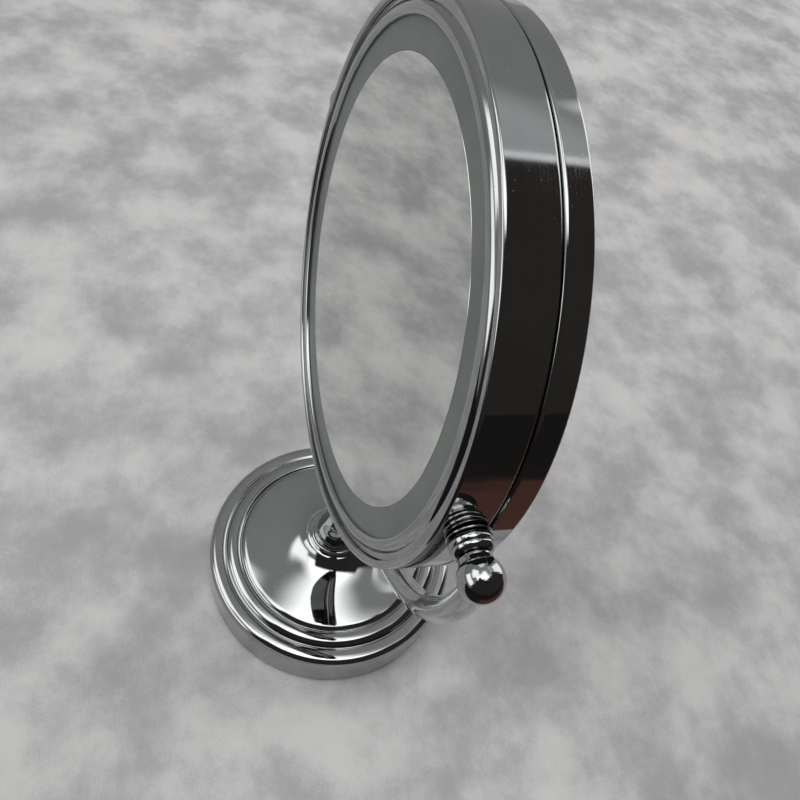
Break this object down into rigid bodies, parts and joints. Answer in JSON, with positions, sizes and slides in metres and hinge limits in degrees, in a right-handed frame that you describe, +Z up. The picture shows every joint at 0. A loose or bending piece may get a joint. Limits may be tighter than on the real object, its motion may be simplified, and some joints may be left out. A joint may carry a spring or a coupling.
{
  "type": "countertop mirror",
  "caption": "Round lighted mirror, plain on one side and magnifying on the other, tilting in a tube yoke on a turned stem and a wide round base.",
  "frame": {"origin": "centre of the base, at the height of the surface the feet rest on", "axes": "+Z up; the plain mirror faces -Y; the head tilts about an axis along X"},
  "size_m": [0.2628, 0.148, 0.363],
  "materials": {
    "polished_chrome": "mirror-polished plating",
    "mirror_glass": "silvered glass",
    "frosted_white": "frosted, unlit, grey-green",
    "black_plastic": "fine moulded grain",
    "white_plastic": "smooth moulding",
    "circuit_board": "white solder mask",
    "brass": "turned",
    "steel": "zinc plated",
    "cast_iron": "as cast, painted black",
    "rubber": "matte",
    "cell_jacket": "printed-free green sleeve",
    "lead_jacket": "soft insulation"
  },
  "bodies": {
    "stand": {"base_shell": "polished_chrome", "base_weight": "cast_iron", "battery_box": "black_plastic", "bottom_cover": "black_plastic", "cell_1": "cell_jacket", "cell_2": "cell_jacket", "cell_3": "cell_jacket", "cell_4": "cell_jacket", "contact_strip_front": "steel", "contact_strip_rear": "steel", "cover_screw_1": "steel", "cover_screw_2": "steel", "cover_screw_3": "steel", "foot_1": "rubber", "foot_2": "rubber", "foot_3": "rubber", "foot_4": "rubber", "pivot_bell_left": "polished_chrome", "pivot_bell_right": "polished_chrome", "pivot_nut_left": "steel", "pivot_nut_right": "steel", "pivot_stud_left": "steel", "pivot_stud_right": "steel", "pivot_washer_left": "steel", "pivot_washer_right": "steel", "stand_lead": "lead_jacket", "stem_bead_lower": "polished_chrome", "stem_bead_upper": "polished_chrome", "stem_column": "polished_chrome", "stem_foot": "polished_chrome", "switch_body": "black_plastic", "tie_nut": "steel", "tie_rod": "steel", "tie_washer": "steel", "yoke_ball_left": "polished_chrome", "yoke_ball_right": "polished_chrome", "yoke_saddle": "polished_chrome", "yoke_tube": "polished_chrome"},
    "head": {"front_housing": "polished_chrome", "front_bezel": "polished_chrome", "light_diffuser": "frosted_white", "front_mirror": "mirror_glass", "led_board": "circuit_board", "head_chassis": "white_plastic", "rear_housing": "polished_chrome", "rear_bezel": "polished_chrome", "rear_mirror": "mirror_glass", "seam_gasket": "rubber", "head_lead": "lead_jacket", "housing_screw_1": "steel", "housing_screw_2": "steel", "housing_screw_3": "steel", "housing_screw_4": "steel", "pivot_flange_right": "polished_chrome", "pivot_bush_right": "brass", "pivot_flange_left": "polished_chrome", "pivot_bush_left": "brass"},
    "battery_door": {"battery_door": "black_plastic"},
    "rocker": {"switch_rocker": "black_plastic"}
  },
  "joints": [
    {"name": "head_tilt", "type": "hinge", "parent": "stand", "child": "head", "pos_m": [0, 0, 0.2545], "axis": [1, 0, 0], "range_deg": [-180, 180]},
    {"name": "battery_door_lift", "type": "slide", "parent": "stand", "child": "battery_door", "axis": [0, 0, -1], "range_m": [0, 0.03]},
    {"name": "rocker_press", "type": "hinge", "parent": "stand", "child": "rocker", "pos_m": [0, 0.069, 0.0175], "axis": [1, 0, 0], "range_deg": [-16, 0]}
  ]
}
